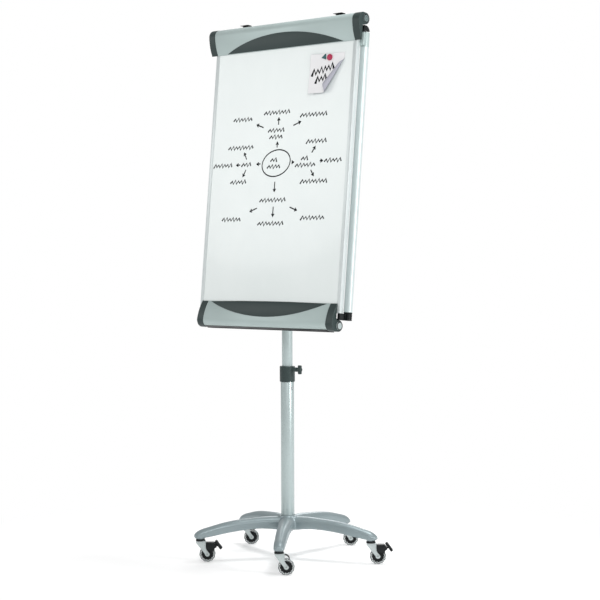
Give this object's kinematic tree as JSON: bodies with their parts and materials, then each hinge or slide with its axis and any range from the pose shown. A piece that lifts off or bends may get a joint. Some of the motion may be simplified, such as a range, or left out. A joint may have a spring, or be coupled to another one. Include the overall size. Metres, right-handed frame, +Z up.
{
  "type": "mobile flipchart easel",
  "caption": "Leaning whiteboard easel with a paper clamp, pen tray and side display arms on a telescopic mast and a star base with braked casters.",
  "frame": {"origin": "the mast's axis at floor level", "axes": "+X to the board's right seen from the front, -Y the way the board faces, +Z up"},
  "size_m": [0.7647, 0.6752, 2.0345],
  "materials": {
    "base_paint": "satin powder coat",
    "silver_tube": "satin powder coat",
    "silver_profile": "satin anodised",
    "silver_plastic": "satin",
    "dark_plastic": "fine grain satin",
    "black_plastic": "satin",
    "steel": "zinc plated",
    "bright_metal": "polished",
    "cast_grey": "cast",
    "white_enamel": "gloss enamel",
    "core_board": "fibreboard",
    "back_metal": "mill",
    "disc_grey": "satin",
    "fork_metal": "satin",
    "clear_tread": "clear polyurethane"
  },
  "bodies": {
    "base": {"star_base": "base_paint", "foot_bolt": "steel", "lower_mast": "silver_tube", "mast_collar": "dark_plastic", "guide_screw": "bright_metal", "caster_stems": "black_plastic"},
    "mast": {"upper_mast": "silver_tube", "slide_bush": "black_plastic", "tilt_head": "cast_grey"},
    "knob": {"clamp_knob": "dark_plastic"},
    "board": {"back_bracket": "steel", "bracket_screws": "bright_metal", "tilt_bolt": "bright_metal", "writing_face": "white_enamel", "board_core": "core_board", "back_sheet": "back_metal", "left_profile": "silver_profile", "right_profile": "silver_profile", "top_rail": "silver_profile", "bottom_rail": "silver_profile", "flap_pins": "disc_grey", "arm_pivots": "silver_plastic", "arm_catches": "black_plastic"},
    "tilt_lock": {"tilt_knob": "dark_plastic"},
    "header": {"header_cover": "silver_plastic", "header_crescent": "dark_plastic", "left_header_cap": "dark_plastic", "right_header_cap": "dark_plastic"},
    "tray": {"tray_cover": "silver_plastic", "tray_crescent": "dark_plastic", "tray_liner": "black_plastic", "left_tray_cap": "dark_plastic", "right_tray_cap": "dark_plastic"},
    "left_hook": {"left_hook": "black_plastic"},
    "right_hook": {"right_hook": "black_plastic"},
    "left_arm": {"left_arm_tube": "silver_tube", "left_arm_fitting": "silver_plastic", "left_arm_end": "black_plastic"},
    "right_arm": {"right_arm_tube": "silver_tube", "right_arm_fitting": "silver_plastic", "right_arm_end": "black_plastic"},
    "fork_1": {"caster_fork_1": "fork_metal", "brake_housing_1": "black_plastic"},
    "wheel_1": {"wheel_core_1": "black_plastic", "wheel_tread_1": "clear_tread"},
    "pedal_1": {"brake_pedal_1": "black_plastic"},
    "fork_2": {"caster_fork_2": "fork_metal"},
    "wheel_2": {"wheel_core_2": "black_plastic", "wheel_tread_2": "clear_tread"},
    "fork_3": {"caster_fork_3": "fork_metal"},
    "wheel_3": {"wheel_core_3": "black_plastic", "wheel_tread_3": "clear_tread"},
    "fork_4": {"caster_fork_4": "fork_metal", "brake_housing_4": "black_plastic"},
    "wheel_4": {"wheel_core_4": "black_plastic", "wheel_tread_4": "clear_tread"},
    "pedal_4": {"brake_pedal_4": "black_plastic"},
    "fork_5": {"caster_fork_5": "fork_metal"},
    "wheel_5": {"wheel_core_5": "black_plastic", "wheel_tread_5": "clear_tread"}
  },
  "joints": [
    {"name": "mast_height", "type": "slide", "parent": "base", "child": "mast", "axis": [0, 0, 1], "range_m": [-0.22, 0.12]},
    {"name": "clamp_turn", "type": "hinge", "parent": "base", "child": "knob", "pos_m": [0, 0, 0.715], "axis": [1, 0, 0], "range_deg": [0, 720]},
    {"name": "board_tilt", "type": "hinge", "parent": "mast", "child": "board", "pos_m": [0, 0, 1.474], "axis": [1, 0, 0], "range_deg": [-12, 4]},
    {"name": "tilt_lock_turn", "type": "hinge", "parent": "board", "child": "tilt_lock", "pos_m": [0, 0, 1.474], "axis": [1, 0, 0], "range_deg": [0, 360]},
    {"name": "header_open", "type": "hinge", "parent": "board", "child": "header", "pos_m": [0, 0.01155, 1.99792], "axis": [-1, 0, 0], "range_deg": [0, 75]},
    {"name": "tray_open", "type": "hinge", "parent": "board", "child": "tray", "pos_m": [0, -0.10252, 0.89028], "axis": [1, 0, 0], "range_deg": [0, 65]},
    {"name": "left_hook_slide", "type": "slide", "parent": "board", "child": "left_hook", "axis": [1, 0, 0], "range_m": [-0.05, 0.085]},
    {"name": "right_hook_slide", "type": "slide", "parent": "board", "child": "right_hook", "axis": [1, 0, 0], "range_m": [-0.085, 0.05]},
    {"name": "left_arm_swing", "type": "hinge", "parent": "board", "child": "left_arm", "pos_m": [-0.3545, 0.03109, 1.92403], "axis": [0, 0.9947, -0.1024], "range_deg": [0, 90]},
    {"name": "right_arm_swing", "type": "hinge", "parent": "board", "child": "right_arm", "pos_m": [0.3545, 0.03109, 1.92403], "axis": [0, -0.9947, 0.1024], "range_deg": [0, 90]},
    {"name": "swivel_1", "type": "hinge", "parent": "base", "child": "fork_1", "pos_m": [0.3186, 0.10352, 0.076], "axis": [0, 0, 1], "continuous": true},
    {"name": "roll_1", "type": "hinge", "parent": "fork_1", "child": "wheel_1", "pos_m": [0.33823, 0.12058, 0.03], "axis": [-0.6561, 0.7547, 0], "continuous": true},
    {"name": "brake_1", "type": "hinge", "parent": "fork_1", "child": "pedal_1", "pos_m": [0.36162, 0.14092, 0.0575], "axis": [-0.6561, 0.7547, 0], "range_deg": [0, 14]},
    {"name": "swivel_2", "type": "hinge", "parent": "base", "child": "fork_2", "pos_m": [0, 0.335, 0.076], "axis": [0, 0, 1], "continuous": true},
    {"name": "roll_2", "type": "hinge", "parent": "fork_2", "child": "wheel_2", "pos_m": [0.01962, 0.35206, 0.03], "axis": [-0.6561, 0.7547, 0], "continuous": true},
    {"name": "swivel_3", "type": "hinge", "parent": "base", "child": "fork_3", "pos_m": [-0.3186, 0.10352, 0.076], "axis": [0, 0, 1], "continuous": true},
    {"name": "roll_3", "type": "hinge", "parent": "fork_3", "child": "wheel_3", "pos_m": [-0.29898, 0.12058, 0.03], "axis": [-0.6561, 0.7547, 0], "continuous": true},
    {"name": "swivel_4", "type": "hinge", "parent": "base", "child": "fork_4", "pos_m": [-0.19691, -0.27102, 0.076], "axis": [0, 0, 1], "continuous": true},
    {"name": "roll_4", "type": "hinge", "parent": "fork_4", "child": "wheel_4", "pos_m": [-0.17729, -0.25396, 0.03], "axis": [-0.6561, 0.7547, 0], "continuous": true},
    {"name": "brake_4", "type": "hinge", "parent": "fork_4", "child": "pedal_4", "pos_m": [-0.15389, -0.23362, 0.0575], "axis": [-0.6561, 0.7547, 0], "range_deg": [0, 14]},
    {"name": "swivel_5", "type": "hinge", "parent": "base", "child": "fork_5", "pos_m": [0.19691, -0.27102, 0.076], "axis": [0, 0, 1], "continuous": true},
    {"name": "roll_5", "type": "hinge", "parent": "fork_5", "child": "wheel_5", "pos_m": [0.21653, -0.25396, 0.03], "axis": [-0.6561, 0.7547, 0], "continuous": true}
  ]
}
